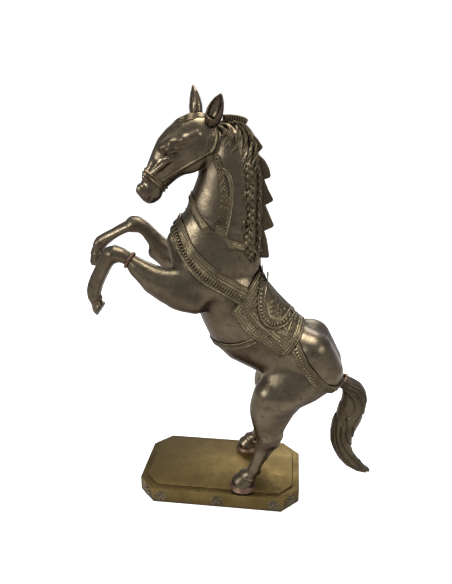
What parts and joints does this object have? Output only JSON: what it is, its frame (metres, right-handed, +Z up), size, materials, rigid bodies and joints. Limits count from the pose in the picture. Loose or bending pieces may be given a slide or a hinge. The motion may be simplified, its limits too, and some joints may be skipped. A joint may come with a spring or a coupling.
{
  "type": "rearing horse statuette",
  "caption": "Old cast brass rearing horse with saddle and ornate harness, standing on its hind hooves on an octagonal plinth.",
  "frame": {"origin": "centre of the plinth's underside, on the surface the statuette stands on", "axes": "+X from the horse's head to its tail along the plinth's length, +Y to the horse's far (right) side, +Z up"},
  "size_m": [0.376, 0.1264, 0.5053],
  "materials": {
    "hide_brass": "aged, hand-rubbed satin with dark hollows",
    "hair_brass": "aged satin, dark in the grooves",
    "harness_brass": "aged satin, rubbed bright on the ridges",
    "plinth_brass": "aged olive brown satin",
    "braze": "rough, paler and pinker than the castings"
  },
  "bodies": {
    "root": {"breast_band": "harness_brass", "crupper_band": "harness_brass", "far_cheek_strap": "harness_brass", "far_ear": "hide_brass", "far_foreleg": "hide_brass", "far_front_braid": "hair_brass", "far_hind_leg": "hide_brass", "far_hoof_braze": "braze", "far_neck_strap": "harness_brass", "far_rear_braid": "hair_brass", "far_saddle_skirt": "harness_brass", "forelock": "hair_brass", "girth": "harness_brass", "head_casting": "hide_brass", "headstall": "harness_brass", "mane_crest": "hair_brass", "near_cheek_strap": "harness_brass", "near_ear": "hide_brass", "near_foreleg": "hide_brass", "near_front_braid": "hair_brass", "near_hind_leg": "hide_brass", "near_hoof_braze": "braze", "near_neck_strap": "harness_brass", "near_rear_braid": "hair_brass", "near_saddle_skirt": "harness_brass", "neck_casting": "hide_brass", "neck_collar": "harness_brass", "noseband": "harness_brass", "plinth": "plinth_brass", "plinth_rosette_far_1": "plinth_brass", "plinth_rosette_far_2": "plinth_brass", "plinth_rosette_far_3": "plinth_brass", "plinth_rosette_far_head_corner": "plinth_brass", "plinth_rosette_far_tail_corner": "plinth_brass", "plinth_rosette_near_1": "plinth_brass", "plinth_rosette_near_2": "plinth_brass", "plinth_rosette_near_3": "plinth_brass", "plinth_rosette_near_head_corner": "plinth_brass", "plinth_rosette_near_tail_corner": "plinth_brass", "saddle_cloth": "harness_brass", "saddle_seat": "harness_brass", "tail": "hair_brass", "trunk_casting": "hide_brass"}
  },
  "joints": []
}
